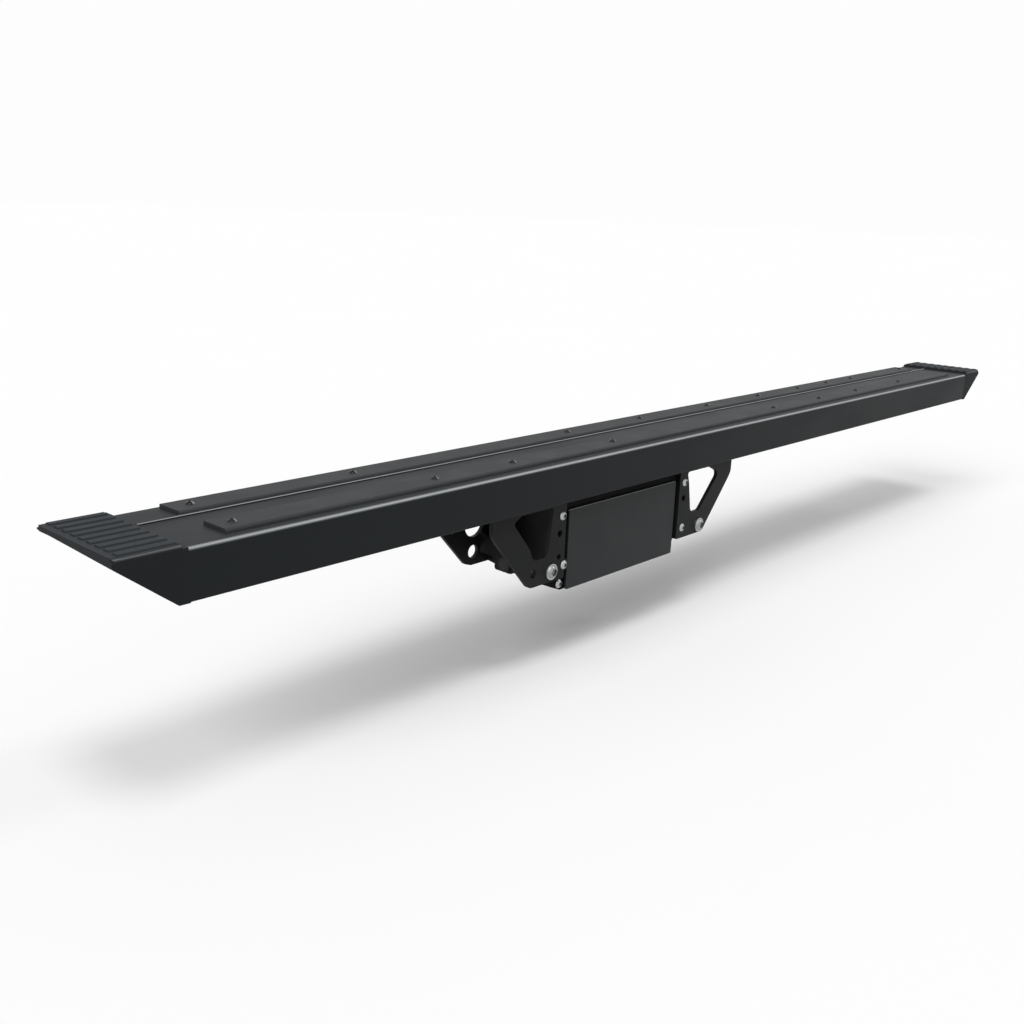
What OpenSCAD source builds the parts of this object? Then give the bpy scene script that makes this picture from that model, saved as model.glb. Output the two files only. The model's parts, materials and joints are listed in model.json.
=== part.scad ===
// Power running board: an extruded step that a sealed electric drive swings out and down from under a vehicle.
// X runs along the vehicle, +Y points inboard to the vehicle, +Z is up. The origin is on the mating face of the
// mount plate, midway between the two upper vehicle bolts. The model shows the stowed position.

/* [Deck] */
// Length of the extruded deck between the end caps
deck_l = 2000; // [1500:10:2400]
// Width of the deck from its front face to its rear edge
deck_w = 150; // [140:1:180]
// Height of the front face
deck_h = 57.5; // [48:0.5:60]
// Height of the rear box section
box_h = 24; // [22:1:28]
// Width of the rear box section
box_w = 84; // [82:1:92]
// Wall of the deck extrusion
deck_wall = 3; // [2.5:0.1:4]
// Rounding of the long front edge
deck_edge_r = 5; // [2:0.5:8]
// Depth of the inward lip under the front face
lip_w = 44; // [40:1:50]
// Thickness of that lip
lip_t = 4; // [3:0.5:5]
// Height of the upstand that keeps the nut bars in the lip
lip_rise = 8; // [7:0.5:12]
// Distance from the drive's middle to the deck's middle
deck_shift = 262; // [0:2:400]
// Height of the deck's top face above the upper vehicle bolts
deck_top = 110; // [108:1:114]
// Distance from the vehicle's face to the deck's front face
deck_reach = 144; // [140:1:150]
// Width of the bead between the two tread strips
bead_w = 4; // [2:0.5:8]
// Height of that bead
bead_h = 2; // [1:0.5:3]
// Distance of the bead from the front face
bead_in = 99; // [90:1:100]

/* [Tread strips] */
// Width of a tread strip
strip_w = 41; // [36:1:42]
// Thickness of a tread strip
strip_t = 4; // [3:0.5:6]
// Distance from the deck's end to a strip's end
strip_inset = 54; // [30:1:120]
// Distance from the front face to the middle of the front strip
front_strip_in = 39; // [34:1:44]
// Distance from the front face to the middle of the rear strip
rear_strip_in = 126; // [124:0.5:126]
// Radius of a strip screw's head
strip_head_r = 5.5; // [4:0.5:7]
// Height of a strip screw's head
strip_head_h = 3; // [2:0.5:4]
// Radius of a strip screw's shank
strip_shank_r = 2.5; // [2:0.25:3]

/* [End caps] */
// Length of an end cap beyond the deck's end
cap_l = 80; // [60:1:110]
// Rise of the cap's top above the deck's top
cap_rise = 5; // [4:0.5:8]
// Distance from the deck's end to the cap's raised top
cap_step = 7; // [3:0.5:12]
// Wall of an end cap
cap_wall = 3.5; // [3:0.25:5]
// Height of the cap's outer lip at the front
cap_lip_front = 12; // [8:0.5:16]
// Height of the cap's outer lip at the rear
cap_lip_rear = 6; // [5:0.5:10]
// Inset of the mitre below the outer lip
cap_lip_in = 9; // [3:0.5:12]
// Length of flat bottom edge between the deck's end and the mitre
cap_heel = 13; // [8:1:20]
// Rounding of the cap's outer corners in plan
cap_corner_r = 5; // [2:0.5:8]
// Number of ribs on a cap
rib_count = 9; // [5:1:11]
// Distance between two ribs
rib_pitch = 16.7; // [12:0.1:17]
// Width of a rib at its foot
rib_w = 14; // [8:0.5:14.5]
// Height of a rib above the cap's top
rib_h = 1.6; // [1:0.1:3]
// Length of the tongue that plugs into the deck's box section
tongue_l = 34; // [25:1:45]

/* [Linkage] */
// Distance from the vehicle's face to the lower drive pivot
hinge_out = 59; // [57:0.5:60]
// Depth of the lower drive pivot below the upper vehicle bolts
hinge_down = 50; // [48:0.5:52]
// Length of all four swing arms between pivots
arm_l = 75; // [73:0.5:77]
// Inboard lean of the arms from upright when stowed
arm_lean = 10; // [8:0.5:12]
// Distance from a drive pivot to its follower pivot
link_span = 44; // [42:0.5:46]
// Lean of the line from drive pivot to follower pivot, from level
link_slope = 52.5; // [50:0.5:55]
// Thickness of a drive arm
arm_t = 10; // [8:0.5:10]
// Thickness of a follower arm
follower_t = 8; // [6:0.5:8]
// Half width of a drive arm's waist
arm_waist = 11; // [9:0.5:12]
// Half width of a follower arm's waist
follower_waist = 7.5; // [6:0.5:8]
// Radius of a drive arm's ends
arm_end_r = 15; // [14:0.5:16]
// Radius of a follower arm's ends
follower_end_r = 12; // [11:0.5:12.5]
// Radius of the lower drive hinge pins
hinge_pin_r = 8; // [7:0.5:8]
// Radius of the follower pins
follower_pin_r = 6; // [5:0.5:6]
// Radius of the drive shaft
shaft_r = 10; // [9:0.5:10]
// Wall of the bushes
bush_wall = 2.5; // [2:0.25:2.5]
// Running clearance between a pin and its bush
run_gap = 0.05; // [0.02:0.01:0.09]
// Clearance at the open follower pivot
open_gap = 0.4; // [0.3:0.05:0.6]
// Gap between a fixed fastener and its hole
fit_gap = 0.1; // [0.05:0.05:0.2]

/* [Vehicle mount] */
// Thickness of the mount plate
mount_t = 6; // [5:0.5:7]
// Distance between the two upper vehicle bolts
upper_bolt_span = 480; // [472:2:490]
// Radius of the upper bolt holes
upper_bolt_r = 6.5; // [5:0.5:8]
// Distance between the two lower vehicle bolts
lower_bolt_span = 396; // [392:2:400]
// Depth of the lower vehicle bolts below the upper ones
lower_bolt_down = 41; // [38:1:42]
// Radius of the lower bolt holes
lower_bolt_r = 10; // [8:0.5:11]
// Radius of the large lightening holes
window_r = 19; // [15:0.5:20]
// Thickness of a hinge cheek
cheek_t = 8; // [7:0.5:8]
// Distance from the drive case's side to a hinge cheek
cheek_gap = 23; // [23:0.5:24]
// Radius of a hinge cheek's nose
cheek_r = 17; // [16:0.5:18]

/* [Bracket plates] */
// Thickness of a bracket plate
plate_t = 6; // [4:0.5:6]
// Distance from the deck's front face to a bracket plate's front face
plate_in = 15; // [12:0.5:17]
// Width of a bracket plate's top flange
flange_w = 29; // [26:0.5:29]
// Distance from the drive case's side to a bracket plate's inner edge
plate_gap = 2; // [2:0.5:4]
// Width of a bracket plate at its top
plate_w = 150; // [146:1:160]
// Depth of a bracket plate's lower edge below the upper vehicle bolts
plate_low = 62; // [60:0.5:64]
// Radius of the small screws' heads
small_head_r = 6.5; // [5.5:0.5:7]
// Height of the small screws' heads
small_head_h = 3.5; // [3:0.5:5]
// Radius of the small screws' shanks
small_shank_r = 3; // [2.5:0.25:3.5]
// Radius of the hex sockets in the small screws
small_socket_r = 3.2; // [2:0.1:3.5]
// Radius of the large stop bolts' heads
big_head_r = 9.5; // [8:0.5:10]
// Height of the large stop bolts' heads
big_head_h = 5.5; // [5:0.5:8]
// Radius of the hex sockets in the large stop bolts
big_socket_r = 5.4; // [4:0.1:6]
// Radius of the large stop bolts' shanks
big_shank_r = 5; // [4:0.5:6]
// Radius of a stop bolt's washer
washer_r = 11.5; // [10.5:0.5:12]
// Thickness of a stop bolt's washer
washer_t = 2; // [1.5:0.25:2.5]

/* [Drive] */
// Half the width of the drive case
case_half = 138; // [134:0.5:138]
// Wall of the drive case
case_wall = 4; // [3:0.5:4]
// Depth of the drive case's floor below the upper vehicle bolts
case_low = 80; // [74:0.5:86]
// Height of the drive case's front edge
case_front_z = 36; // [34:0.5:38]
// Height of the drive case's raised rear part
case_rear_z = 53; // [52:0.5:56]
// Gap between the drive case's back and the mount plate
case_back_gap = 2; // [1:0.5:2]
// Distance from the drive case's side to the front panel's side
panel_in = 7; // [5:0.5:10]
// Thickness of the front panel's sheet
panel_t = 2; // [1.5:0.25:2.5]
// Tooth size of the drive gears, pitch diameter over number of teeth
gear_module = 2; // [1.9:0.05:2]
// Number of teeth on the full circle of the sector gear
sector_teeth = 30; // [30:1:30]
// Number of teeth on the drive pinion
pinion_teeth = 12; // [12:1:12]
// Width of the sector gear
sector_w = 12; // [10:0.5:14]
// Radius of the gear motor's can
motor_r = 27; // [24:0.5:28]
// Length of the gear motor's can
motor_l = 96; // [80:1:100]

/* [Hidden] */

$fn = 48;
arc_steps = 6;
eps = 0.01;
cut = 1;

deck_black = [0.13, 0.14, 0.145];
cap_black = [0.10, 0.105, 0.11];
rubber_black = [0.06, 0.06, 0.065];
plate_black = [0.15, 0.155, 0.16];
case_grey = [0.20, 0.22, 0.22];
steel_grey = [0.62, 0.63, 0.65];
dark_steel = [0.30, 0.31, 0.33];
bronze = [0.62, 0.48, 0.26];

deck_front = -deck_reach;
deck_rear = deck_front + deck_w;
deck_x0 = deck_shift - deck_l / 2;
deck_x1 = deck_shift + deck_l / 2;
deck_low = deck_top - deck_h;
box_low = deck_top - box_h;
box_front = deck_rear - box_w;
lip_rear = deck_front + lip_w;

hinge = [-hinge_out, -hinge_down];
arm_vec = arm_l * [sin(arm_lean), cos(arm_lean)];
span_vec = link_span * [cos(link_slope), sin(link_slope)];
top_hinge = hinge + arm_vec;
follower_hinge = hinge + span_vec;
follower_top = top_hinge + span_vec;

side_gap = 2;
pin_stand = 0.5;
cheek_x = case_half + cheek_gap;
arm_gap = 1.5;
arm_x = cheek_x + cheek_t + arm_gap;
follower_x = cheek_x - side_gap - follower_t;
ear_t = 7;
ear_x = follower_x - side_gap - ear_t;
bush_out_r = shaft_r + run_gap + bush_wall;

plate_front = deck_front + plate_in;
plate_back = plate_front + plate_t;
plate_inner_x = case_half + plate_gap;
plate_outer_x = plate_inner_x + plate_w;
panel_half = case_half - panel_in;
wing_t = 6;
case_front = plate_back + wing_t;
case_back = -mount_t - case_back_gap;
flange_low = deck_low - plate_t;

// Outlines with rounded corners
function unit(v) = v / norm(v);
function turned(r, a) = r * [cos(a), sin(a)];
function short_turn(a) = a > 180 ? a - 360 : a < -180 ? a + 360 : a;
function corner(a, b, c, r) =
    r == 0 ? [b] :
    let (
        u = unit(a - b),
        w = unit(c - b),
        half = acos(u * w) / 2,
        centre = b + unit(u + w) * r / sin(half),
        from = b + u * r / tan(half) - centre,
        to = b + w * r / tan(half) - centre,
        start = atan2(from[1], from[0]),
        sweep = short_turn(atan2(to[1], to[0]) - start)
    )
    [for (i = [0 : arc_steps]) centre + turned(r, start + sweep * i / arc_steps)];
function rounded(p, r) =
    let (n = len(p))
    [for (i = [0 : n - 1]) each corner(p[(i + n - 1) % n], p[i], p[(i + 1) % n], r[i])];
function box_path(a, b) = [a, [b[0], a[1]], b, [a[0], b[1]]];

// A profile drawn in Y and Z, pulled along X
module along_x(x, l) {
    translate([x, 0, 0]) rotate([90, 0, 90]) linear_extrude(l) children();
}
// A profile drawn in X and Z, pulled along Y
module along_y(y, l) {
    translate([0, y + l, 0]) rotate([90, 0, 0]) linear_extrude(l) children();
}
module rod_x(x, l, r, at) {
    translate([x, at[0], at[1]]) rotate([0, 90, 0]) cylinder(h = l, r = r);
}
module rod_y(y, l, r, at) {
    translate([at[0], y, at[1]]) rotate([-90, 0, 0]) cylinder(h = l, r = r);
}
module rod_z(z, l, r, at) {
    translate([at[0], at[1], z]) cylinder(h = l, r = r);
}
module tube_x(x, l, r, hole, at) {
    difference() {
        rod_x(x, l, r, at);
        rod_x(x - cut, l + 2 * cut, hole, at);
    }
}
module both_sides() {
    children();
    mirror([1, 0, 0]) children();
}
// A link with round ends and straight tangent sides between two points
module link_shape(p, q, rp, rq) {
    d = norm(q - p);
    lean = asin((rp - rq) / d);
    aim = atan2(q[1] - p[1], q[0] - p[0]);
    translate(p) circle(r = rp);
    translate(q) circle(r = rq);
    polygon([
        p + turned(rp, aim + 90 - lean), p + turned(rp, aim - 90 + lean),
        q + turned(rq, aim - 90 + lean), q + turned(rq, aim + 90 - lean)
    ]);
}

// Deck

bead_mid = deck_front + bead_in;
bead_r = 1.5;
module deck_profile() {
    difference() {
        union() {
            polygon(rounded([
                [deck_front, deck_top], [deck_front, deck_low], [lip_rear, deck_low],
                [lip_rear, deck_low + lip_t + lip_rise], [lip_rear - lip_t, deck_low + lip_t + lip_rise],
                [lip_rear - lip_t, deck_low + lip_t], [deck_front + deck_wall, deck_low + lip_t],
                [deck_front + deck_wall, deck_top - deck_wall], [box_front, deck_top - deck_wall],
                [box_front, box_low], [deck_rear, box_low], [deck_rear, deck_top]
            ], [deck_edge_r, 3, 1, 0, 0, 1, 1, 2, 3, 2, 3, 3]));
            polygon(rounded(
                box_path([bead_mid - bead_w / 2, deck_top - deck_wall], [bead_mid + bead_w / 2, deck_top + bead_h]),
                [0, 0, bead_r, bead_r]
            ));
        }
        translate([box_front + deck_wall, box_low + deck_wall])
            square([box_w - 2 * deck_wall, box_h - 2 * deck_wall]);
    }
}

screw_depth = 8;
front_screw_share = [0.0375, 0.183, 0.254, 0.363, 0.598, 0.683, 0.760, 0.860];
rear_screw_share = [0.0395, 0.154, 0.363, 0.456, 0.557, 0.645, 0.722, 0.783, 0.838, 0.963];
strip_screws = concat(
    [for (s = front_screw_share) [deck_x0 + s * deck_l, deck_front + front_strip_in]],
    [for (s = rear_screw_share) [deck_x0 + s * deck_l, deck_front + rear_strip_in]]
);
flange_bolt_in = 17;
flange_bolts = [
    for (x = [plate_inner_x + 18, plate_outer_x - 60, plate_outer_x - 20]) [x, plate_front + flange_bolt_in]
];
flange_bolt_r = 4;
ear_flange_in = 4;
ear_flange_out = 31;
ear_flange = [[ear_x, box_front + ear_flange_in], [cheek_x + ear_flange_out, deck_rear - ear_flange_in]];
ear_bolt_in = 8;
ear_bolts = [
    for (x = [ear_x + ear_t + 6, cheek_x + 21])
        for (y = [ear_flange[0][1] + ear_bolt_in, ear_flange[1][1] - ear_bolt_in]) [x, y]
];
ear_bolt_r = 3;
ear_flange_t = 6;
cap_screw_in = 16;
cap_screw_r = 2.5;
cap_screw_y = (box_front + deck_rear) / 2;

module deck() {
    color(deck_black) difference() {
        along_x(deck_x0, deck_l) deck_profile();
        for (p = strip_screws)
            rod_z(deck_top - deck_wall - cut, deck_wall + 2 * cut, strip_shank_r + fit_gap, p);
        both_sides() for (p = flange_bolts)
            rod_z(deck_low - cut, lip_t + 2 * cut, flange_bolt_r + fit_gap, p);
        both_sides() for (p = ear_bolts)
            rod_z(box_low - cut, deck_wall + 2 * cut, ear_bolt_r + fit_gap, p);
        for (x = [deck_x0 + cap_screw_in, deck_x1 - cap_screw_in])
            rod_z(box_low - cut, deck_wall + 2 * cut, cap_screw_r + fit_gap, [x, cap_screw_y]);
    }
}

// Tread strips

strip_edge_r = 1.5;
module tread_strip(y) {
    color(rubber_black) difference() {
        along_x(deck_x0 + strip_inset, deck_l - 2 * strip_inset)
            polygon(rounded(
                box_path([y - strip_w / 2, deck_top], [y + strip_w / 2, deck_top + strip_t]),
                [0, 0, strip_edge_r, strip_edge_r]
            ));
        for (p = strip_screws) rod_z(deck_top - cut, strip_t + 2 * cut, strip_shank_r + fit_gap, p);
    }
}
module front_tread_strip() tread_strip(deck_front + front_strip_in);
module rear_tread_strip() tread_strip(deck_front + rear_strip_in);

// A dome-headed screw that points down, with its seat at the given height
module button_screw(head_r, head_h, shank_r, depth, socket_r) {
    ball_r = (head_r * head_r + head_h * head_h) / (2 * head_h);
    difference() {
        union() {
            rotate_extrude() intersection() {
                translate([0, head_h - ball_r]) circle(r = ball_r);
                square([head_r, head_h]);
            }
            translate([0, 0, -depth]) cylinder(h = depth + eps, r = shank_r);
        }
        translate([0, 0, head_h * 0.45]) cylinder(h = head_h, r = socket_r, $fn = 6);
    }
}
module tread_strip_screws() {
    color(dark_steel) for (p = strip_screws)
        translate([p[0], p[1], deck_top + strip_t])
            button_screw(strip_head_r, strip_head_h, strip_shank_r, screw_depth, strip_shank_r * 0.7);
}

// End caps, modelled at the right-hand end and mirrored to the left

cap_top = deck_top + cap_rise;
cap_y = [deck_front, deck_rear];
lip_edge_r = 3;
heel_edge_r = 4;
// The cap's side seen from the front, shrunk by the given amount to make the hollow
module cap_side(lip, low, in, top) {
    lip_z = cap_top - lip;
    polygon(rounded([
        [0, top], [cap_l - in, top], [cap_l - in, lip_z + in],
        [cap_l - cap_lip_in - in, lip_z + in], [cap_heel - in * 0.4, low + in], [0, low + in]
    ], in > 0 ? [0, 0, 0, 0, 0, 0] : [0, 0, lip_edge_r, 0, heel_edge_r, 0]));
}
module cap_body(in, top) {
    hull() {
        along_y(cap_y[0] + in, eps) cap_side(cap_lip_front, deck_low, in, top);
        along_y(cap_y[1] - in - eps, eps) cap_side(cap_lip_rear, box_low, in, top);
    }
}
// The raised top, the meet of a profile with rounded long edges and a plan with rounded outer corners
module cap_top_plate() {
    front_edge_r = 5;
    rear_edge_r = 3;
    intersection() {
        along_x(cap_step, cap_l - cap_step)
            polygon(rounded(
                box_path([cap_y[0], deck_top - cut], [cap_y[1], cap_top]), [0, 0, rear_edge_r, front_edge_r]
            ));
        translate([0, 0, deck_top - cut]) linear_extrude(cap_rise + cut)
            polygon(rounded(
                box_path([cap_step, cap_y[0]], [cap_l, cap_y[1]]), [0, cap_corner_r, cap_corner_r, 0]
            ));
    }
}
module cap_ribs() {
    first = (cap_y[0] + cap_y[1] - (rib_count - 1) * rib_pitch) / 2;
    inner_margin = 4;
    outer_margin = 8;
    foot = rib_w / 2;
    crest = rib_w * 0.28;
    crest_r = 2;
    for (i = [0 : rib_count - 1])
        along_x(cap_step + inner_margin, cap_l - cap_step - inner_margin - outer_margin)
            translate([first + i * rib_pitch, cap_top])
                polygon(rounded(
                    [[-foot, -cut], [foot, -cut], [crest, rib_h], [-crest, rib_h]], [0, 0, crest_r, crest_r]
                ));
}
module cap_tongue() {
    play = 0.4;
    inner_w = box_w - 2 * (deck_wall + play);
    inner_h = box_h - 2 * (deck_wall + play);
    difference() {
        translate([-tongue_l, box_front + deck_wall + play, box_low + deck_wall + play])
            cube([tongue_l + cap_wall, inner_w, inner_h]);
        rod_z(box_low, box_h, cap_screw_r + fit_gap, [-cap_screw_in, cap_screw_y]);
    }
}
module cap() {
    difference() {
        union() {
            cap_body(0, deck_top);
            cap_top_plate();
        }
        difference() {
            translate([-cut, 0, 0]) cap_body(cap_wall, deck_top - cap_wall);
            translate([-2 * cut, box_front, box_low]) cube([cap_wall + 2 * cut, box_w, box_h]);
        }
    }
    cap_ribs();
    cap_tongue();
}
module right_end_cap() {
    color(cap_black) translate([deck_x1, 0, 0]) cap();
}
module left_end_cap() {
    color(cap_black) translate([deck_x0, 0, 0]) mirror([1, 0, 0]) cap();
}
module end_cap_screws() {
    head_r = 5;
    head_h = 3;
    socket_r = 1.8;
    color(dark_steel) for (x = [deck_x0 + cap_screw_in, deck_x1 - cap_screw_in])
        translate([x, cap_screw_y, box_low]) mirror([0, 0, 1])
            button_screw(head_r, head_h, cap_screw_r, box_h / 2, socket_r);
}

// Bracket plates that hang from the deck's lip in front of the drive

small_left = [[-plate_inner_x - 7, 30], [-plate_inner_x - 0.5, -43]];
small_low = [-plate_inner_x - 2.5, -case_low + 7.5];
small_right = [[plate_inner_x + 14, 30], [plate_inner_x + 15, -45]];
spare_left = [-plate_inner_x - 12.5, 5];
spare_right = [plate_inner_x + 13, 4];
spare_low = [-plate_inner_x - 12.5, -29];
spare_r = 5;
spare_low_r = 4;
stop_left = [-cheek_x - 7, -47];
stop_right = [cheek_x + 42, -49];
spare_stop = [-plate_inner_x - 66, -42];
spare_stop_r = 6.5;
leg_top_r = 6;

// Corners are counted from the plate's inner edge or its outer edge
module plate_outline() {
    lobe_in = 76;
    lobe_r = 17;
    shoulder_r = 14;
    polygon(rounded([
        [plate_inner_x, flange_low + plate_t / 2], [plate_inner_x, -plate_low], [plate_outer_x - lobe_in, -plate_low],
        [plate_outer_x - 7, 18], [plate_outer_x, 28], [plate_outer_x, flange_low + plate_t / 2]
    ], [leg_top_r, 2, lobe_r, shoulder_r, shoulder_r, 0]));
}
module right_window() {
    foot_z = -24;
    foot_r = 11;
    polygon(rounded([
        [plate_inner_x + 20, flange_low - cut], [plate_inner_x + 26, 26], [plate_inner_x + 36, foot_z],
        [plate_inner_x + 61, foot_z], [plate_outer_x - 37, 32], [plate_outer_x - 66, flange_low - cut]
    ], [4, 14, foot_r, foot_r, 8, 4]));
}
// The left plate's window has a rounder foot
module left_window() {
    foot_z = -23.5;
    foot_r = 10;
    polygon(rounded([
        [plate_inner_x + 28, flange_low - cut], [plate_inner_x + 31, 22], [plate_inner_x + 37, foot_z],
        [plate_inner_x + 67, foot_z], [plate_inner_x + 75, -5], [plate_outer_x - 40, 37],
        [plate_outer_x - 56, flange_low - cut]
    ], [3, 14, foot_r, foot_r, 14, 5, 3]));
}
// One plate on the right-hand side: bolt holes in its flange, a window as given and round lobes below
module bracket_plate() {
    bend_r = 5;
    difference() {
        union() {
            along_y(plate_front, plate_t) difference() {
                plate_outline();
                children();
            }
            along_x(plate_inner_x + leg_top_r, plate_w - leg_top_r)
                polygon(rounded([
                    [plate_front, flange_low - eps], [plate_back, flange_low - eps], [plate_back, flange_low],
                    [plate_front + flange_w, flange_low], [plate_front + flange_w, deck_low], [plate_front, deck_low]
                ], [0, 0, 0, 0, 0, bend_r]));
        }
        for (p = flange_bolts) rod_z(flange_low - cut, plate_t + 2 * cut, flange_bolt_r + fit_gap, p);
    }
}
module screw_hole(r, at) {
    rod_y(plate_front - cut, plate_t + 2 * cut, r, at);
}
module left_bracket_plate() {
    ear_r = 9;
    color(plate_black) difference() {
        union() {
            mirror([1, 0, 0]) bracket_plate() left_window();
            along_y(plate_front, plate_t)
                link_shape(small_left[1] - [14, 0], small_left[1], ear_r, ear_r);
        }
        for (p = small_left) screw_hole(small_shank_r + fit_gap, p);
        screw_hole(spare_r, spare_left);
        screw_hole(spare_low_r, spare_low);
        screw_hole(big_shank_r + fit_gap, stop_left);
        screw_hole(spare_stop_r, spare_stop);
    }
}
module right_bracket_plate() {
    color(plate_black) difference() {
        bracket_plate() right_window();
        for (p = small_right) screw_hole(small_shank_r + fit_gap, p);
        screw_hole(spare_r, spare_right);
        screw_hole(big_shank_r + fit_gap, stop_right);
    }
}
bar_t = 6;
bar_w = 14;
module bracket_plate_bolts() {
    head_r = 7;
    head_h = 4.5;
    socket_r = 2.8;
    color(steel_grey) both_sides() for (p = flange_bolts)
        translate([p[0], p[1], flange_low]) mirror([0, 0, 1])
            button_screw(head_r, head_h, flange_bolt_r, plate_t + lip_t + bar_t, socket_r);
}
module bracket_nut_bars() {
    end_in = 8;
    color(dark_steel) both_sides() difference() {
        translate([plate_inner_x + end_in, plate_front + flange_bolt_in - bar_w / 2, deck_low + lip_t])
            cube([plate_outer_x - plate_inner_x - 2 * end_in, bar_w, bar_t]);
        for (p = flange_bolts)
            rod_z(deck_low + lip_t - cut, bar_t + 2 * cut, flange_bolt_r + fit_gap, p);
    }
}

// Pivot ears that hang from the deck's rear box section

ear_nose_r = 14;
main_nose_r = 17;
module pivot_ears() {
    flange_z = box_low - ear_flange_t;
    difference() {
        union() {
            translate([ear_flange[0][0], ear_flange[0][1], flange_z])
                cube([ear_flange[1][0] - ear_flange[0][0], ear_flange[1][1] - ear_flange[0][1], ear_flange_t]);
            along_x(cheek_x, cheek_t) {
                translate(top_hinge) circle(r = main_nose_r);
                polygon([
                    top_hinge + [-main_nose_r, 0], top_hinge + [main_nose_r, 0],
                    [top_hinge[0] + main_nose_r + 6, flange_z + cut], [ear_flange[0][1], flange_z + cut]
                ]);
            }
            along_x(ear_x, ear_t) {
                translate(follower_top) circle(r = ear_nose_r);
                polygon([
                    follower_top + [-ear_nose_r, 0], follower_top + [ear_nose_r, 0],
                    [follower_top[0] + ear_nose_r, flange_z + cut],
                    [follower_top[0] - 2 * ear_nose_r, flange_z + cut]
                ]);
            }
        }
        for (p = ear_bolts) rod_z(flange_z - cut, ear_flange_t + 2 * cut, ear_bolt_r + fit_gap, p);
        rod_x(cheek_x - cut, cheek_t + 2 * cut, bush_out_r + fit_gap, top_hinge);
        rod_x(ear_x - cut, ear_t + 2 * cut, follower_pin_r + fit_gap, follower_top);
    }
}
module right_pivot_ears() color(plate_black) pivot_ears();
module left_pivot_ears() color(plate_black) mirror([1, 0, 0]) pivot_ears();
module pivot_ear_bolts() {
    head_r = 5;
    head_h = 3.2;
    socket_r = 2;
    color(steel_grey) both_sides() for (p = ear_bolts)
        translate([p[0], p[1], box_low - ear_flange_t]) mirror([0, 0, 1])
            button_screw(head_r, head_h, ear_bolt_r, ear_flange_t + deck_wall + bar_t, socket_r);
}
module ear_nut_bars() {
    overhang = 9;
    color(dark_steel) both_sides() for (y = [ear_bolts[0][1], ear_bolts[1][1]])
        difference() {
            translate([ear_bolts[0][0] - overhang, y - bar_w / 2, box_low + deck_wall])
                cube([ear_bolts[2][0] - ear_bolts[0][0] + 2 * overhang, bar_w, bar_t]);
            for (p = ear_bolts) rod_z(box_low + deck_wall - cut, bar_t + 2 * cut, ear_bolt_r + fit_gap, p);
        }
}
module upper_follower_pins() {
    color(steel_grey) both_sides()
        rod_x(ear_x, ear_t + side_gap + follower_t + pin_stand, follower_pin_r, follower_top);
}

// Drive case with its front wings, webs and shaft bores

web_x = 15;
web_t = 5;
web_lap = 0.5;
web_in = 30;
pitch_r = gear_module * sector_teeth / 2;
pinion_pitch_r = gear_module * pinion_teeth / 2;
pinion_at = top_hinge - [0, pitch_r + pinion_pitch_r];
pinion_shaft_r = 5;
pinion_tail = 12;
pinion_room = 4;
boss_l = 9;
case_boss_r = bush_out_r + 4;
inlet_at = [case_front + 22, -case_low + 14];
inlet_r = 8;
gland_nut_l = 6;
gland_nut_r = inlet_r + 4;
gland_l = 20;
gland_bore_l = 16;
gland_bore_r = 3;

module case_profile(in) {
    polygon(rounded([
        [case_front - wing_t, -case_low + in], [case_back - in, -case_low + in], [case_back - in, case_rear_z - in],
        [top_hinge[0] - 40 + in, case_rear_z - in], [top_hinge[0] - 56 + in, case_front_z - in],
        [case_front - wing_t, case_front_z - in]
    ], [0, 8 - in, 6 - in, 10, 8, 0]));
}
panel_low = -case_low - 3.5;
panel_high = case_front_z - 0.5;
// The front frame: a lip up to the deck, a wing behind each bracket plate and a low tab on the left
module case_wings() {
    lip_x = plate_inner_x - 0.5;
    lip_top = deck_low - 0.5;
    left_x = plate_inner_x + 15;
    right_x = plate_inner_x + 22;
    wing_low = -plate_low + 4.5;
    tab_x = plate_inner_x + 43;
    tab_low = -case_low - 2;
    open_half = panel_half - 3;
    open_in = 8;
    along_y(plate_back, wing_t) difference() {
        polygon(rounded([
            [-lip_x, lip_top], [-lip_x, case_front_z], [-left_x, case_front_z], [-left_x, wing_low],
            [-tab_x, wing_low], [-tab_x, wing_low - 6], [-left_x, -case_low + 4], [-case_half - 2, tab_low],
            [case_half - 4, tab_low], [case_half, -plate_low], [right_x, wing_low], [right_x, case_front_z],
            [lip_x, case_front_z], [lip_x, lip_top]
        ], [3, 0, 4, 0, 0, 3, 6, 6, 4, 0, 4, 4, 0, 3]));
        polygon(box_path([-open_half, -case_low + open_in], [open_half, case_front_z - open_in]));
    }
}
module drive_case() {
    shaft_bore = bush_out_r + fit_gap;
    color(case_grey) difference() {
        union() {
            difference() {
                along_x(-case_half, 2 * case_half) case_profile(0);
                along_x(-case_half + case_wall, 2 * (case_half - case_wall)) case_profile(case_wall);
                translate([-case_half - cut, case_front - wing_t - cut, -case_low - cut])
                    cube([2 * (case_half + cut), wing_t + cut, case_low + case_rear_z + 2 * cut]);
            }
            for (x = [-web_x - web_t, web_x]) along_x(x, web_t) difference() {
                case_profile(case_wall - web_lap);
                translate([case_front - wing_t - cut, -case_low]) square([web_in, case_low + case_rear_z]);
            }
            case_wings();
            both_sides() rod_x(case_half - boss_l, boss_l, case_boss_r, top_hinge);
        }
        rod_x(-case_half - cut, 2 * (case_half + cut), shaft_bore, top_hinge);
        rod_x(-web_x - web_t - cut, web_t + 2 * cut, pinion_shaft_r + run_gap, pinion_at);
        rod_x(web_x - cut, web_t + 2 * cut, pinion_shaft_r + pinion_room, pinion_at);
        rod_x(case_half - case_wall - cut, case_wall + 2 * cut, inlet_r + fit_gap, inlet_at);
        for (p = concat(small_left, small_right, [small_low]))
            rod_y(plate_back - cut, wing_t + 2 * cut, small_shank_r + fit_gap, p);
    }
}
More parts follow.
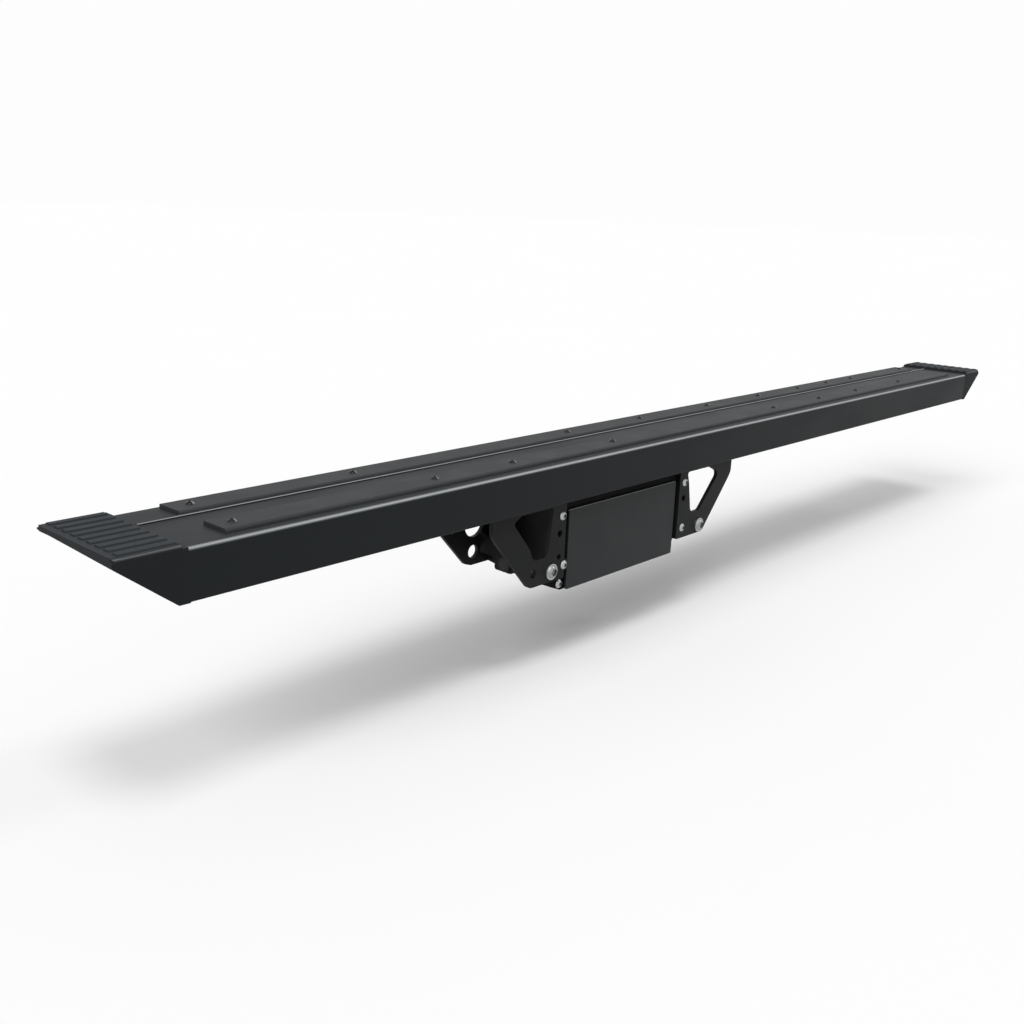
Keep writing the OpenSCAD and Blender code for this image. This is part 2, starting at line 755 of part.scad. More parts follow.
module front_panel() {
    rim = 1.5;
    corner_r = 4;
    set_back = 2;
    fold_r = 1.5;
    face_y = plate_front + set_back;
    rear_y = plate_back - gasket_t;
    color(case_grey) difference() {
        intersection() {
            along_y(face_y, rear_y - face_y)
                polygon(rounded(
                    box_path([-panel_half, panel_low], [panel_half, panel_high]),
                    [corner_r, corner_r, corner_r, corner_r]
                ));
            along_x(-panel_half, 2 * panel_half)
                polygon(rounded(box_path([face_y, panel_low], [rear_y, panel_high]), [fold_r, 0, 0, fold_r]));
        }
        along_y(face_y + panel_t, plate_t)
            polygon(box_path([-panel_half + rim, panel_low + rim], [panel_half - rim, panel_high - rim]));
    }
}
gasket_t = 1;
module panel_gasket() {
    inset = 0.5;
    band = 6;
    color(rubber_black) along_y(plate_back - gasket_t, gasket_t) difference() {
        polygon(box_path([-panel_half + inset, -case_low], [panel_half - inset, panel_high - inset]));
        polygon(box_path([-panel_half + band, -case_low + band], [panel_half - band, panel_high - band]));
    }
}
module case_screws() {
    color(steel_grey) {
        for (p = concat(small_left, small_right))
            translate([p[0], plate_front, p[1]]) rotate([90, 0, 0])
                button_screw(small_head_r, small_head_h, small_shank_r, plate_t + wing_t, small_socket_r);
        translate([small_low[0], plate_back, small_low[1]]) rotate([90, 0, 0])
            button_screw(small_head_r, small_head_h, small_shank_r, wing_t + 4, small_socket_r);
    }
}

// Stop bolts with their posts and rubber pads behind the bracket plates

pad_t = 12;
post_r = 9;
pad_r = 11;
stop_thread = 16;
sleeve_r = 11;
rest_gap = 0.3;
left_stop_end = hinge[0] - cheek_r - rest_gap;
right_stop_end = hinge[0] - sleeve_r - rest_gap;
stops = [[stop_left, left_stop_end], [stop_right, right_stop_end]];

module stop_bolts() {
    reach = washer_t + plate_t + stop_thread;
    color(steel_grey) for (s = stops)
        translate([s[0][0], plate_front - washer_t, s[0][1]]) rotate([90, 0, 0])
            button_screw(big_head_r, big_head_h, big_shank_r, reach, big_socket_r);
}
module stop_bolt_washers() {
    color(steel_grey) for (s = stops) difference() {
        rod_y(plate_front - washer_t, washer_t, washer_r, s[0]);
        rod_y(plate_front - washer_t - cut, washer_t + 2 * cut, big_shank_r + fit_gap, s[0]);
    }
}
module stop_posts() {
    color(dark_steel) for (s = stops) difference() {
        rod_y(plate_back, s[1] - plate_back - pad_t, post_r, s[0]);
        rod_y(plate_back - cut, stop_thread + 2 * cut, big_shank_r + fit_gap, s[0]);
    }
}
module stop_pads() {
    color(rubber_black) for (s = stops)
        rod_y(s[1] - pad_t, pad_t, pad_r, s[0]);
}

// Gear motor, bushes, seals and the power inlet

module gear_motor() {
    face_x = web_x + web_t;
    gearbox_l = 14;
    gearbox_r = motor_r + 1;
    can_r = motor_r - 2;
    end_boss_l = 6;
    end_boss_r = 9;
    color(dark_steel) difference() {
        union() {
            rod_x(face_x, gearbox_l, gearbox_r, pinion_at);
            rod_x(face_x + gearbox_l, motor_l - gearbox_l, can_r, pinion_at);
            rod_x(face_x + motor_l, end_boss_l, end_boss_r, pinion_at);
        }
        rod_x(face_x - cut, pinion_tail + 2 * cut, pinion_shaft_r + run_gap, pinion_at);
    }
}
collar = 1;
module bush_ring(x, l, collar) {
    difference() {
        union() {
            rod_x(x, l + collar, bush_out_r, top_hinge);
            rod_x(x + l, collar, bush_out_r + bush_wall, top_hinge);
        }
        rod_x(x - cut, l + collar + 2 * cut, shaft_r + run_gap, top_hinge);
    }
}
module shaft_bushes() {
    color(bronze) both_sides() {
        bush_ring(case_half - boss_l, boss_l, collar);
        bush_ring(cheek_x - collar, cheek_t + collar, collar);
    }
}
module shaft_seals() {
    seal_w = 4;
    seal_wall = 5;
    color(rubber_black) both_sides()
        tube_x(case_half + collar + fit_gap, seal_w, shaft_r + seal_wall, shaft_r + run_gap, top_hinge);
}
module cord_gland() {
    color(rubber_black) difference() {
        union() {
            rod_x(case_half - case_wall - side_gap, case_wall + side_gap, inlet_r, inlet_at);
            translate([case_half, inlet_at[0], inlet_at[1]]) rotate([0, 90, 0])
                cylinder(h = gland_nut_l, r = gland_nut_r, $fn = 6);
            rod_x(case_half + gland_nut_l, gland_l - gland_nut_l, inlet_r, inlet_at);
        }
        rod_x(case_half + gland_l - gland_bore_l, gland_bore_l + cut, gland_bore_r, inlet_at);
    }
}

// Swing arms

module drive_arm() {
    top_extra = 1;
    bush_r = hinge_pin_r + run_gap + bush_wall;
    difference() {
        along_x(arm_x, arm_t) {
            link_shape(hinge, top_hinge, arm_waist, arm_waist);
            translate(hinge) circle(r = arm_end_r);
            translate(top_hinge) circle(r = arm_end_r + top_extra);
        }
        rod_x(arm_x - cut, arm_t + 2 * cut, bush_r + fit_gap, hinge);
        rod_x(arm_x - cut, arm_t + 2 * cut, shaft_r + fit_gap, top_hinge);
    }
}
module right_drive_arm() color(dark_steel) drive_arm();
module left_drive_arm() color(dark_steel) mirror([1, 0, 0]) drive_arm();
module drive_arm_bushes() {
    color(bronze) both_sides()
        tube_x(arm_x, arm_t, hinge_pin_r + run_gap + bush_wall, hinge_pin_r + run_gap, hinge);
}
end_bolt_r = 4;
end_bolt_l = 12;
module drive_shaft() {
    half = arm_x + arm_t;
    tap_l = end_bolt_l + 2;
    color(steel_grey) difference() {
        rod_x(-half, 2 * half, shaft_r, top_hinge);
        both_sides() rod_x(half - tap_l, tap_l + cut, end_bolt_r + fit_gap, top_hinge);
    }
}
module arm_end_bolts() {
    head_r = 12;
    head_h = 5;
    socket_r = 3;
    color(steel_grey) both_sides()
        translate([arm_x + arm_t, top_hinge[0], top_hinge[1]]) rotate([0, 90, 0])
            button_screw(head_r, head_h, end_bolt_r, end_bolt_l, socket_r);
}

module follower_arm() {
    difference() {
        along_x(follower_x, follower_t) {
            link_shape(follower_hinge, follower_top, follower_waist, follower_waist);
            translate(follower_hinge) circle(r = follower_end_r);
            translate(follower_top) circle(r = follower_end_r);
        }
        for (p = [follower_hinge, follower_top])
            rod_x(follower_x - cut, follower_t + 2 * cut, follower_bush_r + fit_gap, p);
    }
}
follower_bush_r = follower_pin_r + bush_wall;
module right_follower_arm() color(dark_steel) follower_arm();
module left_follower_arm() color(dark_steel) mirror([1, 0, 0]) follower_arm();
module follower_bushes() {
    color(bronze) both_sides() {
        tube_x(follower_x, follower_t, follower_bush_r, follower_pin_r + run_gap, follower_hinge);
        tube_x(follower_x, follower_t, follower_bush_r, follower_pin_r + open_gap, follower_top);
    }
}

// Drive gears

pressure = 25;
tooth_play = 0.12;
tip_add = 1;
root_sub = 1.2;
function involute(a) = tan(a) * 180 / PI - a;
function half_tooth(teeth, r) =
    let (p = gear_module * teeth / 2, base = p * cos(pressure))
    90 / teeth - tooth_play / p * 180 / PI + involute(pressure) - (r > base ? involute(acos(base / r)) : 0);
function tooth(teeth) =
    let (
        p = gear_module * teeth / 2,
        low = p - root_sub * gear_module,
        high = p + tip_add * gear_module,
        n = 5,
        rs = [for (i = [0 : n]) low + (high - low) * i / n]
    )
    concat(
        [turned(low - 1, -half_tooth(teeth, low))],
        [for (i = [0 : n]) turned(rs[i], -half_tooth(teeth, rs[i]))],
        [for (i = [0 : n]) turned(rs[n - i], half_tooth(teeth, rs[n - i]))],
        [turned(low - 1, half_tooth(teeth, low))]
    );
sector_cut = [137, 283];
module sector_gear() {
    root = pitch_r - root_sub * gear_module;
    step = 360 / sector_teeth;
    hub_wall = 6;
    rim_step = 14.6;
    color(steel_grey) along_x(-sector_w / 2, sector_w) translate(top_hinge) difference() {
        union() {
            intersection() {
                circle(r = root);
                polygon(concat(
                    [[0, 0]], [for (a = [sector_cut[0] : rim_step : sector_cut[1] + 1]) turned(2 * pitch_r, a)]
                ));
            }
            for (k = [-10 : 0]) rotate(-90 + k * step) polygon(tooth(sector_teeth));
            rotate(-90 + step) polygon(tooth(sector_teeth));
            circle(r = shaft_r + hub_wall);
        }
        circle(r = shaft_r + fit_gap);
    }
}
module drive_pinion() {
    root = pinion_pitch_r - root_sub * gear_module;
    step = 360 / pinion_teeth;
    face_extra = 1;
    color(steel_grey) {
        along_x(-sector_w / 2 - face_extra, sector_w + 2 * face_extra) translate(pinion_at) {
            circle(r = root);
            for (k = [0 : pinion_teeth - 1]) rotate(90 + (k + 0.5) * step) polygon(tooth(pinion_teeth));
        }
        rod_x(-web_x - web_t, 2 * (web_x + web_t) + pinion_tail, pinion_shaft_r, pinion_at);
    }
}

// Vehicle mount

// Outline with a wing at each upper bolt and a lobe round each lower bolt
module mount_plate() {
    low = 61;
    wing_x = upper_bolt_span / 2 + 46;
    lobe_x = lower_bolt_span / 2;
    waist_z = -30;
    right = [
        [cheek_x - 39, waist_z], [cheek_x - 7, -low], [lobe_x + 4, -low], [lobe_x + 16, -low + 4],
        [wing_x, 22], [wing_x, 40]
    ];
    left = [for (i = [len(right) - 1 : -1 : 0]) [-right[i][0], right[i][1]]];
    corner_r = [12, 10, 6, 6, 10, 8];
    left_corner_r = [for (i = [len(corner_r) - 1 : -1 : 0]) corner_r[i]];
    color(plate_black) difference() {
        along_y(-mount_t, mount_t) polygon(rounded(concat(left, right), concat(left_corner_r, corner_r)));
        both_sides() {
            rod_y(-mount_t - cut, mount_t + 2 * cut, upper_bolt_r, [upper_bolt_span / 2, 0]);
            rod_y(-mount_t - cut, mount_t + 2 * cut, lower_bolt_r, [lobe_x, -lower_bolt_down]);
            rod_y(-mount_t - cut, mount_t + 2 * cut, window_r, [lobe_x - 1, 0]);
        }
    }
}
cheek_top_r = 12;
outer_cheek_x = arm_x + arm_t + 1;
outer_cheek_t = 4.5;
web_low = -hinge_down + 6;
web_top = -12;
web_base_t = 4;
// The outer cheek's side, with a level lower edge round the hinge pin
module outer_cheek_side() {
    heel_y = -hinge_out + 21;
    heel_z = -hinge_down - 12;
    nose_y = -hinge_out - cheek_r;
    nose_z = -hinge_down + cheek_r;
    polygon(rounded([
        [-mount_t, web_low], [heel_y, web_low], [heel_y, heel_z], [nose_y, heel_z], [nose_y, nose_z],
        [-mount_t, web_top]
    ], [0, 3, 4, 8, 12, 0]));
}
// A clevis: an inner cheek with both pivots, an outer cheek and a base between them on the mount plate
module hinge_bracket() {
    top_z = 8;
    foot_z = -hinge_down - cheek_r + 8;
    difference() {
        union() {
            along_x(cheek_x, cheek_t) hull() {
                translate(hinge) circle(r = cheek_r);
                translate(follower_hinge) circle(r = cheek_top_r);
                translate([-mount_t - web_base_t, foot_z]) square([web_base_t, top_z - foot_z]);
            }
            along_x(outer_cheek_x, outer_cheek_t) outer_cheek_side();
            translate([cheek_x + cheek_t / 2, -mount_t - web_base_t, web_low])
                cube([outer_cheek_x + outer_cheek_t - cheek_x - cheek_t / 2, web_base_t, web_top - web_low]);
        }
        rod_x(cheek_x - cut, outer_cheek_x + outer_cheek_t - cheek_x + 2 * cut, hinge_pin_r + fit_gap, hinge);
        rod_x(cheek_x - cut, cheek_t + 2 * cut, follower_pin_r + fit_gap, follower_hinge);
    }
}
module right_hinge_bracket() color(plate_black) hinge_bracket();
module left_hinge_bracket() color(plate_black) mirror([1, 0, 0]) hinge_bracket();
nut_l = 3;
nut_wall = 3;
pin_tip = outer_cheek_x + outer_cheek_t + nut_l + pin_stand;
sleeve_l = 25;
// Only the right-hand pin carries the sleeve that its stop meets
module lower_hinge_pins() {
    color(dark_steel) {
        both_sides() rod_x(cheek_x, pin_tip - cheek_x, hinge_pin_r, hinge);
        rod_x(pin_tip, sleeve_l, sleeve_r, hinge);
    }
}
module hinge_pin_nuts() {
    color(dark_steel) both_sides()
        tube_x(outer_cheek_x + outer_cheek_t, nut_l, hinge_pin_r + nut_wall, hinge_pin_r + fit_gap, hinge);
}
module lower_follower_pins() {
    color(steel_grey) both_sides()
        rod_x(follower_x - pin_stand, cheek_x + cheek_t - follower_x + pin_stand, follower_pin_r, follower_hinge);
}

deck();
front_tread_strip();
rear_tread_strip();
tread_strip_screws();
left_end_cap();
right_end_cap();
end_cap_screws();
left_bracket_plate();
right_bracket_plate();
bracket_plate_bolts();
bracket_nut_bars();
left_pivot_ears();
right_pivot_ears();
pivot_ear_bolts();
ear_nut_bars();
drive_case();
front_panel();
panel_gasket();
case_screws();
stop_bolts();
stop_bolt_washers();
stop_posts();
stop_pads();
gear_motor();
shaft_bushes();
shaft_seals();
upper_follower_pins();
cord_gland();
left_drive_arm();
right_drive_arm();
drive_arm_bushes();
drive_shaft();
sector_gear();
arm_end_bolts();
drive_pinion();
left_follower_arm();
right_follower_arm();
follower_bushes();
mount_plate();
left_hinge_bracket();
right_hinge_bracket();
lower_hinge_pins();
lower_follower_pins();
hinge_pin_nuts();
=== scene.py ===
import json
import math

import bpy
from mathutils import Matrix, Vector


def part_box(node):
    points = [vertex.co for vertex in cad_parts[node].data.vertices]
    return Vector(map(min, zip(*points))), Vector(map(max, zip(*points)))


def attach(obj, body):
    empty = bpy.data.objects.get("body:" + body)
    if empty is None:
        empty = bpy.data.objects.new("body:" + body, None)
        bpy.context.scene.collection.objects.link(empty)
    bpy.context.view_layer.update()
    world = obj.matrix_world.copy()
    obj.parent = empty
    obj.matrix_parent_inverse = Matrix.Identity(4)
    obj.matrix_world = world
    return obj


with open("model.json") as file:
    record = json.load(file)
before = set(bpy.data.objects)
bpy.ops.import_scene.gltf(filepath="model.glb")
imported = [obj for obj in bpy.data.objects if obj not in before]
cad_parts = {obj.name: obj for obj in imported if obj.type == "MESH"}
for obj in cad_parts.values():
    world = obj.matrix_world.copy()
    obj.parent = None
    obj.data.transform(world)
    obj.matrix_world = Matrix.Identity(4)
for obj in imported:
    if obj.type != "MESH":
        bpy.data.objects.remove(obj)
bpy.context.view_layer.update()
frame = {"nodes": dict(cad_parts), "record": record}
nodes = frame["nodes"]

MM = 0.001

# Camera fitted to the photograph: its place in the row frame, and its angles in degrees
CAMERA_AT = Vector((-1277.5, -1049.7, 437.9)) * MM
CAMERA_YAW = 48.031
CAMERA_PITCH = 15.548
CAMERA_ROLL = 2.137
CAMERA_CLIP_END = 200
FOCAL_PX = 1089.34
IMAGE_PX = 1024
SENSOR_MM = 36.0

# Stage, in metres, and how light it is where it is seen and where it only lights the object
FLOOR_Z = -0.20
FLOOR_HALF = 60.0
FLOOR_SEEN_DARK = (0.975, 0.975, 0.975)
FLOOR_SEEN_LIGHT = (0.985, 0.985, 0.985)
FLOOR_UNSEEN = (0.40, 0.40, 0.40)
WORLD_SEEN = 0.985
WORLD_UNSEEN = 0.39

# The end caps' painted edge highlight fades out just behind the front face of the deck
DECK_FRONT = min(v.co.y for v in nodes["deck"].data.vertices)
HIGHLIGHT_DEPTH = 0.6 * MM
HIGHLIGHT_FADE = 1.5 * MM

# Tones laid over a finish: a painted highlight on rounded edges, a painted glint with metallic shine, and
# painted shade in sockets; and how much lighter than the finish a sharp edge is, partly as wear and partly as
# a painted highlight
EDGE_HIGHLIGHT_TONE = (0.50, 0.52, 0.53)
GLINT_TONE = (0.45, 0.46, 0.47)
SOCKET_SHADE_TONE = (0.03, 0.03, 0.03)
PALE_EDGE_GAIN = 2.4
PALE_EDGE_LIFT = 0.01

# Tool sockets painted dark as shade, and how much of that dark tone lies on the rest of a stop bolt
CASE_SOCKET_R = 3.2 * MM
STOP_SOCKET_R = 5.4 * MM
SOCKET_SLACK = 1.05
SOCKET_SINK = 0.3 * MM
STOP_DARKENING = 0.18
WELD_STEP = 0.01 * MM

# Strips between the lip of the drive case and the bracket plates
SLIT_X = (138.8 * MM, 140.0 * MM)
SLIT_Y = (-123.0 * MM, -118.0 * MM)
SLIT_Z = (30.0 * MM, 51.5 * MM)

# Webs in the end caps, with corners in mm from the cap's outer, rear, top corner
WEB_SINK = 0.1 * MM
WEB_T = 1.0 * MM
WEB_CORNERS = ((-20.1, -38.4, -22.4), (-15.8, -3.0, -13.0), (-2.0, -3.0, -8.1))


# Shader helpers

def new_material(name):
    mat = bpy.data.materials.new(name)
    mat.use_nodes = True
    tree = mat.node_tree
    return mat, tree, tree.nodes["Principled BSDF"]


def object_coords(tree, stretch=(1, 1, 1)):
    coord = tree.nodes.new("ShaderNodeTexCoord")
    mapping = tree.nodes.new("ShaderNodeMapping")
    mapping.inputs["Scale"].default_value = stretch
    tree.links.new(coord.outputs["Object"], mapping.inputs["Vector"])
    return mapping.outputs["Vector"]


def along(tree, kind, axis):
    """One axis of a texture coordinate, such as the Y of Object or the Z of Normal."""
    coord = tree.nodes.new("ShaderNodeTexCoord")
    split = tree.nodes.new("ShaderNodeSeparateXYZ")
    tree.links.new(coord.outputs[kind], split.inputs["Vector"])
    return split.outputs[axis]


def noise(tree, vector, size_mm, detail, rough=0.55):
    tex = tree.nodes.new("ShaderNodeTexNoise")
    tex.inputs["Scale"].default_value = 1000.0 / size_mm
    tex.inputs["Detail"].default_value = detail
    tex.inputs["Roughness"].default_value = rough
    tree.links.new(vector, tex.inputs["Vector"])
    return tex.outputs["Fac"]


def calc(tree, operation, *values):
    node = tree.nodes.new("ShaderNodeMath")
    node.operation = operation
    for value, socket in zip(values, node.inputs):
        tree.links.new(value, socket)
    return node.outputs[0]


def ramp(tree, value, low, high, from_low=0.3, from_high=0.7):
    node = tree.nodes.new("ShaderNodeMapRange")
    node.inputs["From Min"].default_value = from_low
    node.inputs["From Max"].default_value = from_high
    node.inputs["To Min"].default_value = low
    node.inputs["To Max"].default_value = high
    tree.links.new(value, node.inputs["Value"])
    return node.outputs["Result"]


def blend(tree, share, under, over):
    """Lays one colour over another by a share from 0 to 1. Each is a socket or three plain numbers."""
    node = tree.nodes.new("ShaderNodeMix")
    node.data_type = "RGBA"
    for key, colour in (("A", under), ("B", over)):
        if isinstance(colour, bpy.types.NodeSocket):
            tree.links.new(colour, node.inputs[key])
        else:
            node.inputs[key].default_value = (*colour, 1)
    tree.links.new(share, node.inputs["Factor"])
    return node.outputs["Result"]


def bump(tree, height, strength, depth_mm, normal=None):
    node = tree.nodes.new("ShaderNodeBump")
    node.inputs["Strength"].default_value = strength
    node.inputs["Distance"].default_value = depth_mm * MM
    tree.links.new(height, node.inputs["Height"])
    if normal is not None:
        tree.links.new(normal, node.inputs["Normal"])
    return node.outputs["Normal"]


def edge_wear_and_highlight(tree, radius_mm, high):
    """Runs from 0 on flat faces to high on sharp edges, where the rounded normal leans off the true one.
    Gives the rounded normal too."""
    bevel = tree.nodes.new("ShaderNodeBevel")
    bevel.samples = 4
    bevel.inputs["Radius"].default_value = radius_mm * MM
    geometry = tree.nodes.new("ShaderNodeNewGeometry")
    dot = tree.nodes.new("ShaderNodeVectorMath")
    dot.operation = "DOT_PRODUCT"
    tree.links.new(bevel.outputs["Normal"], dot.inputs[0])
    tree.links.new(geometry.outputs["Normal"], dot.inputs[1])
    pale_edge = ramp(tree, dot.outputs["Value"], high, 0.0, from_low=0.7, from_high=0.99)
    return pale_edge, bevel.outputs["Normal"]


def long_edge(tree, high, reach):
    """Runs from 0 on flat faces to high on edges along X that round off between a side and the top.
    Reach is the place along Y at which it ends, or None."""
    up = along(tree, "Normal", "Z")
    off_side = ramp(tree, up, 0.0, 1.0, from_low=0.30, from_high=0.60)
    off_top = ramp(tree, up, 1.0, 0.0, from_low=0.86, from_high=0.97)
    mask = calc(tree, "MULTIPLY", off_side, off_top)
    if reach is not None:
        depth = along(tree, "Object", "Y")
        near = ramp(tree, depth, 1.0, 0.0, from_low=reach, from_high=reach + HIGHLIGHT_FADE)
        mask = calc(tree, "MULTIPLY", mask, near)
    return ramp(tree, mask, 0.0, high, from_low=0.0, from_high=1.0)


def facing(tree, axis, high, from_low, from_high, both_ways=False):
    """Runs from 0 to high as faces turn to the plus end of an axis, or to either end."""
    turn = along(tree, "Normal", axis)
    if both_ways:
        turn = calc(tree, "ABSOLUTE", turn)
    return ramp(tree, turn, 0.0, high, from_low, from_high)


def drift(tree, slow, colour, mottle):
    """The colour a little darker and lighter by turns."""
    dark, light = ([c * share for c in colour] for share in (1 - mottle, 1 + mottle))
    return blend(tree, slow, dark, light)


# Finishes

def coat(name, colour, rough, specular, grain_mm, grain, depth_mm, mottle=0.12, edge=0.0, edge_mm=0.8,
         stretch=(1, 1, 1), edge_highlight=0.0, reach=None, highlight_metal=True, glint_side=0.0, side_axis="X",
         lit_side_colour=None):
    """Powder coat, moulded plastic or rubber: fine grain as bump, slow drift in colour and gloss, and sharp
    edges made paler, partly as wear and partly as a painted highlight. Edge_highlight is how far the long
    rounded edges are painted pale as a highlight, with a real metallic shine if highlight_metal is true.
    Glint_side is how far the
    +X side of a domed head is painted pale and metallic as a glint. Lit_side_colour is the lighter tone
    painted as light on the faces at both ends of side_axis."""
    mat, tree, shader = new_material(name)
    vector = object_coords(tree, stretch)
    slow = noise(tree, vector, size_mm=60.0, detail=4.0)
    fine = noise(tree, vector, grain_mm, detail=2.0, rough=0.6)
    tint = drift(tree, slow, colour, mottle)
    normal = None
    # Sharp edges made paler: partly wear, partly a painted highlight
    if edge > 0:
        pale_edge, normal = edge_wear_and_highlight(tree, edge_mm, edge)
        tint = blend(tree, pale_edge, tint, [c * PALE_EDGE_GAIN + PALE_EDGE_LIFT for c in colour])
    # Faces at both ends of the side axis take a lighter tone: painted light
    if lit_side_colour is not None:
        ends = facing(tree, side_axis, 0.9, from_low=0.7, from_high=0.9, both_ways=True)
        tint = blend(tree, ends, tint, lit_side_colour)
    # Long rounded edges painted pale as a highlight, with a real metallic shine where that is switched on
    if edge_highlight > 0:
        highlight_mask = long_edge(tree, edge_highlight, reach)
        tint = blend(tree, highlight_mask, tint, EDGE_HIGHLIGHT_TONE)
        if highlight_metal:
            tree.links.new(highlight_mask, shader.inputs["Metallic"])
    # The +X side of a domed head painted pale and metallic: a painted glint
    if glint_side > 0:
        glint_mask = facing(tree, "X", glint_side, from_low=0.02, from_high=0.25)
        tint = blend(tree, glint_mask, tint, GLINT_TONE)
        tree.links.new(glint_mask, shader.inputs["Metallic"])
    tree.links.new(tint, shader.inputs["Base Color"])
    tree.links.new(ramp(tree, slow, rough - 0.05, rough + 0.05), shader.inputs["Roughness"])
    shader.inputs["Specular IOR Level"].default_value = specular
    tree.links.new(bump(tree, fine, grain, depth_mm, normal), shader.inputs["Normal"])
    return mat


def bare_metal(name, colour, rough, grain_mm, grain, depth_mm, mottle=0.08, socket_shade=0.0):
    """Plated, ground or machined metal: fine grain as bump and in its gloss, slight stains, and a dark tone
    painted as shade where the mesh attribute socket is over 0."""
    mat, tree, shader = new_material(name)
    vector = object_coords(tree)
    slow = noise(tree, vector, size_mm=9.0, detail=4.0)
    fine = noise(tree, vector, grain_mm, detail=3.0, rough=0.6)
    tint = drift(tree, slow, colour, mottle)
    # Tool sockets painted dark as shade; a stop bolt takes some of that dark tone all over
    if socket_shade > 0:
        mark = tree.nodes.new("ShaderNodeAttribute")
        mark.attribute_name = "socket"
        socket_dark = ramp(tree, mark.outputs["Fac"], 0.0, socket_shade, from_low=0.0, from_high=0.5)
        tint = blend(tree, socket_dark, tint, SOCKET_SHADE_TONE)
    tree.links.new(tint, shader.inputs["Base Color"])
    tree.links.new(ramp(tree, fine, rough - 0.06, rough + 0.08), shader.inputs["Roughness"])
    shader.inputs["Metallic"].default_value = 1.0
    tree.links.new(bump(tree, fine, grain, depth_mm), shader.inputs["Normal"])
    return mat


COATS = {
    # Long rounded edges painted pale as a highlight, with a metallic shine
    "deck_coat": dict(
        colour=(0.0162, 0.0190, 0.0200), rough=0.50, specular=0.085, grain_mm=0.9, grain=0.22, depth_mm=0.04,
        mottle=0.10, edge=0.35, stretch=(0.35, 1, 1), edge_highlight=0.60),
    # Faces along Y painted lighter, as light falling on the strips' sides
    "tread_rubber": dict(
        colour=(0.0148, 0.0170, 0.0188), rough=0.66, specular=0.32, grain_mm=0.8, grain=0.50, depth_mm=0.08,
        mottle=0.14, edge=0.35, side_axis="Y", lit_side_colour=(0.068, 0.074, 0.080)),
    # Front rim painted pale as a highlight up to just behind the deck's front face; faces along Z painted
    # lighter, as light on the top
    "cap_plastic": dict(
        colour=(0.0215, 0.0238, 0.0264), rough=0.62, specular=0.05, grain_mm=1.1, grain=0.40, depth_mm=0.07,
        mottle=0.10, edge=0.30, edge_highlight=0.34, reach=DECK_FRONT + HIGHLIGHT_DEPTH,
        side_axis="Z", lit_side_colour=(0.040, 0.0445, 0.049)),
    "bracket_coat": dict(
        colour=(0.0086, 0.0091, 0.0094), rough=0.50, specular=0.12, grain_mm=1.0, grain=0.25, depth_mm=0.05,
        edge=0.45),
    # Nearly black as painted shade on the drive case's front; faces along X painted lighter to stand in for
    # light on its shaded sides
    "case_coat": dict(
        colour=(0.0030, 0.0031, 0.0033), rough=0.60, specular=0.04, grain_mm=2.2, grain=0.40, depth_mm=0.12,
        edge=0.30, lit_side_colour=(0.062, 0.062, 0.066)),
    # Long rounded edges painted pale as a highlight, without metallic shine
    "panel_coat": dict(
        colour=(0.0210, 0.0250, 0.0258), rough=0.48, specular=0.16, grain_mm=0.9, grain=0.22, depth_mm=0.04,
        mottle=0.10, edge=0.40, edge_highlight=0.80, highlight_metal=False),
    # The +X side of each head painted pale and metallic as a glint
    "black_screw": dict(
        colour=(0.0040, 0.0040, 0.0045), rough=0.32, specular=0.22, grain_mm=0.5, grain=0.12, depth_mm=0.02,
        mottle=0.15, edge=0.3, edge_mm=0.5, glint_side=0.5),
    "arm_steel": dict(
        colour=(0.0160, 0.0165, 0.0180), rough=0.46, specular=0.28, grain_mm=1.4, grain=0.25, depth_mm=0.06,
        mottle=0.14, edge=0.45),
    "motor_steel": dict(
        colour=(0.030, 0.030, 0.033), rough=0.42, specular=0.35, grain_mm=0.8, grain=0.2, depth_mm=0.03,
        mottle=0.10, edge=0.4),
    "seal_rubber": dict(
        colour=(0.0100, 0.0100, 0.0105), rough=0.70, specular=0.25, grain_mm=0.7, grain=0.3, depth_mm=0.05),
    "gland_plastic": dict(
        colour=(0.016, 0.016, 0.017), rough=0.48, specular=0.30, grain_mm=0.8, grain=0.25, depth_mm=0.03),
}
METALS = {
    # Tool sockets painted dark as shade
    "bright_screw": dict(
        colour=(0.40, 0.41, 0.41), rough=0.34, grain_mm=0.6, grain=0.6, depth_mm=0.06, mottle=0.22,
        socket_shade=0.75),
    "pin_steel": dict(colour=(0.50, 0.51, 0.53), rough=0.26, grain_mm=0.5, grain=0.12, depth_mm=0.01),
    "gear_steel": dict(colour=(0.36, 0.37, 0.39), rough=0.34, grain_mm=0.7, grain=0.20, depth_mm=0.02),
    "bush_bronze": dict(
        colour=(0.42, 0.29, 0.14), rough=0.38, grain_mm=0.4, grain=0.25, depth_mm=0.03, mottle=0.15),
}
MATERIALS = {name: coat(name, **look) for name, look in COATS.items()}
MATERIALS.update({name: bare_metal(name, **look) for name, look in METALS.items()})


# Painted shade in the tool sockets

def loose_parts(mesh):
    """Lists the vertices of each part that isn't joined to the rest. Vertices at one place are joined."""
    joined = list(range(len(mesh.vertices)))

    def root(i):
        while joined[i] != i:
            joined[i] = joined[joined[i]]
            i = joined[i]
        return i

    places = {}
    for v in mesh.vertices:
        key = tuple(round(c / WELD_STEP) for c in v.co)
        joined[root(v.index)] = root(places.setdefault(key, v.index))
    for edge in mesh.edges:
        joined[root(edge.vertices[0])] = root(edge.vertices[1])
    parts = {}
    for v in mesh.vertices:
        parts.setdefault(root(v.index), []).append(v)
    return parts.values()


